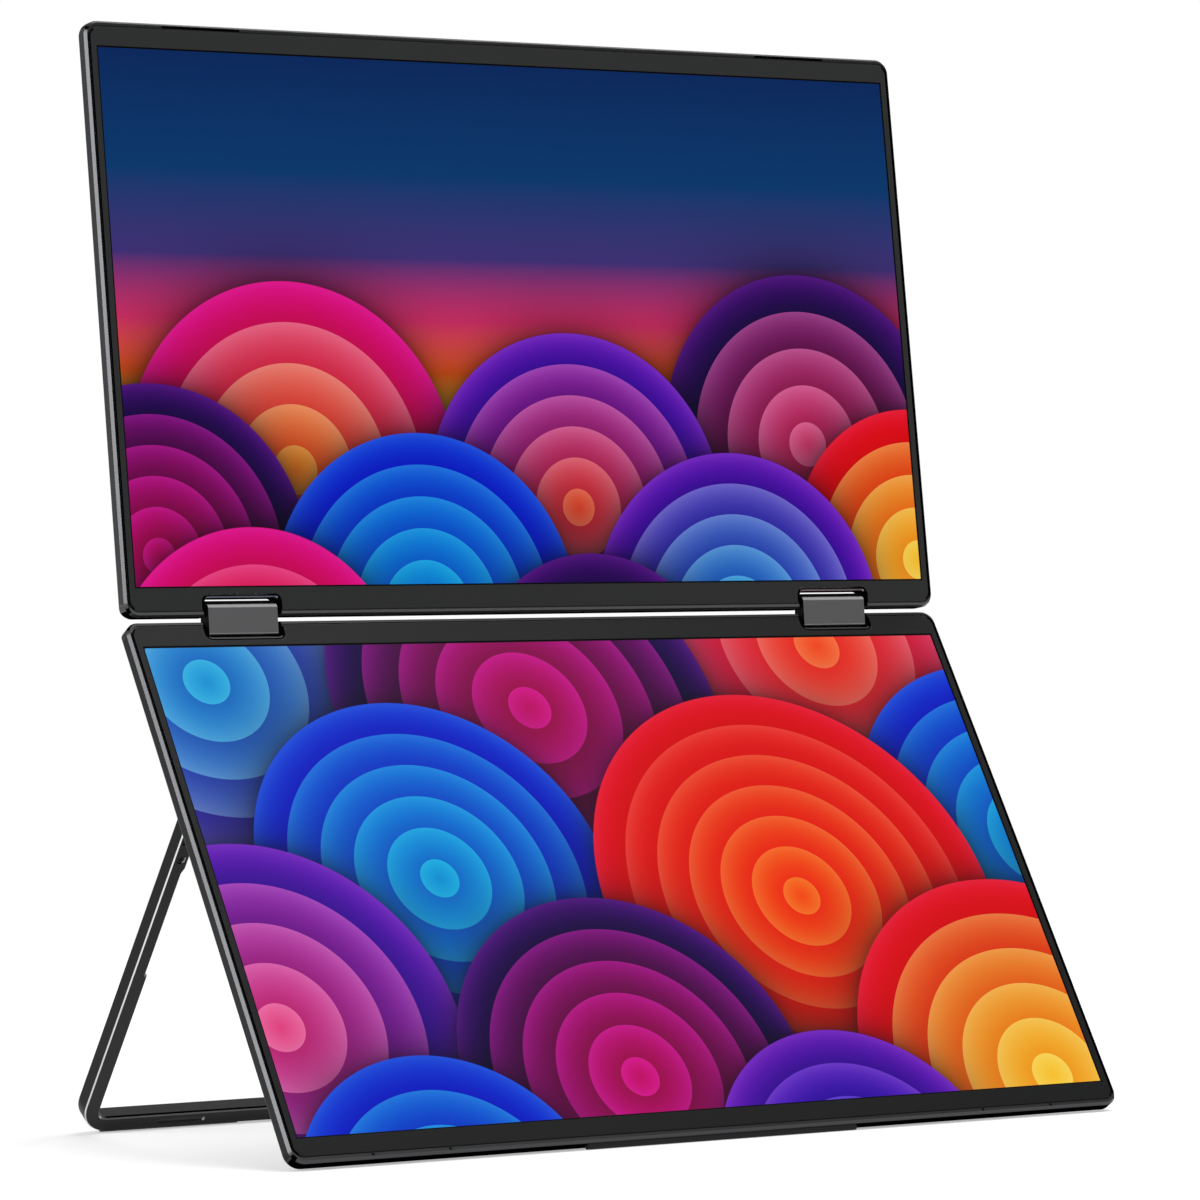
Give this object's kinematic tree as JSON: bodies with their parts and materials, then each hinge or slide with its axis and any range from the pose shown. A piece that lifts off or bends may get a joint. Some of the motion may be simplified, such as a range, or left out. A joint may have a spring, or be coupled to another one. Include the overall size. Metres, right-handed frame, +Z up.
{
  "type": "dual portable monitor",
  "caption": "Folding pair of widescreen portable displays, one above the other on double-pin hinges, held up by a U-shaped kickstand.",
  "frame": {"origin": "middle of the flat under the front foot strip, where it rests on the table", "axes": "+X to the viewer's right, +Y to the back, +Z up"},
  "size_m": [0.354, 0.1599, 0.3973],
  "materials": {
    "cover_metal": "fine-blasted charcoal anodising",
    "bezel_sheet": "satin charcoal sheet",
    "screen": "anti-glare display face, shows a colourful picture",
    "light_guide": "white diffuser stack",
    "circuit_board": "green solder mask",
    "steel": "bright pressed steel",
    "hinge_metal": "satin gunmetal",
    "hinge_black": "black satin paint",
    "housing_plastic": "fine-grained charcoal plastic",
    "stand_metal": "charcoal anodised with a bright cut edge",
    "rubber": "matt black rubber",
    "button_plastic": "smooth black plastic"
  },
  "bodies": {
    "lower_display": {"lower_back_cover": "cover_metal", "lower_front_bezel": "bezel_sheet", "lower_display_cell": "screen", "lower_backlight_unit": "light_guide", "lower_timing_board": "circuit_board", "lower_left_hinge_bracket": "steel", "lower_right_hinge_bracket": "steel", "lower_hinge_bracket_screws": "steel", "front_foot_strip": "rubber", "left_stand_bracket": "steel", "right_stand_bracket": "steel", "left_stand_pin": "steel", "right_stand_pin": "steel", "stand_bracket_screws": "steel", "rear_housing": "housing_plastic", "rear_housing_screws": "steel", "control_board": "circuit_board", "control_board_screws": "steel", "usb_c_power_socket": "steel", "usb_c_signal_socket": "steel", "mini_hdmi_socket": "steel", "audio_socket": "housing_plastic", "button_switches": "housing_plastic", "usb_c_power_tongue": "button_plastic", "usb_c_signal_tongue": "button_plastic", "mini_hdmi_tongue": "button_plastic", "left_speaker": "housing_plastic", "right_speaker": "housing_plastic"},
    "hinge_links": {"left_hinge_link": "hinge_black", "left_hinge_cap": "hinge_metal", "left_lower_hinge_pin": "steel", "left_upper_hinge_pin": "steel", "right_hinge_link": "hinge_black", "right_hinge_cap": "hinge_metal", "right_lower_hinge_pin": "steel", "right_upper_hinge_pin": "steel"},
    "upper_display": {"upper_back_cover": "cover_metal", "upper_front_bezel": "bezel_sheet", "upper_display_cell": "screen", "upper_backlight_unit": "light_guide", "upper_timing_board": "circuit_board", "upper_left_hinge_bracket": "steel", "upper_right_hinge_bracket": "steel", "upper_hinge_bracket_screws": "steel"},
    "stand": {"stand_frame": "stand_metal", "stand_pads": "rubber", "left_stand_leaf": "steel", "right_stand_leaf": "steel", "stand_leaf_screws": "steel"},
    "power_button": {"power_button": "button_plastic"},
    "plus_button": {"plus_button": "button_plastic"},
    "minus_button": {"minus_button": "button_plastic"}
  },
  "joints": [
    {"name": "lower_hinge", "type": "hinge", "parent": "lower_display", "child": "hinge_links", "pos_m": [0, 0.1137, 0.17981], "axis": [1, 0, 0], "range_deg": [-26.95, 63.05]},
    {"name": "upper_hinge", "type": "hinge", "parent": "hinge_links", "child": "upper_display", "pos_m": [0, 0.11444, 0.18748], "axis": [1, 0, 0], "range_deg": [0, 92.15]},
    {"name": "stand_fold", "type": "hinge", "parent": "lower_display", "child": "stand", "pos_m": [0, 0.07786, 0.11124], "axis": [1, 0, 0], "range_deg": [-67.75, 22]},
    {"name": "power_press", "type": "slide", "parent": "lower_display", "child": "power_button", "axis": [-1, 0, 0], "range_m": [0, 0.0003], "stiffness_N_per_m": 2500, "springref_m": -0.0004},
    {"name": "plus_press", "type": "slide", "parent": "lower_display", "child": "plus_button", "axis": [-1, 0, 0], "range_m": [0, 0.0003], "stiffness_N_per_m": 2500, "springref_m": -0.0004},
    {"name": "minus_press", "type": "slide", "parent": "lower_display", "child": "minus_button", "axis": [-1, 0, 0], "range_m": [0, 0.0003], "stiffness_N_per_m": 2500, "springref_m": -0.0004}
  ]
}
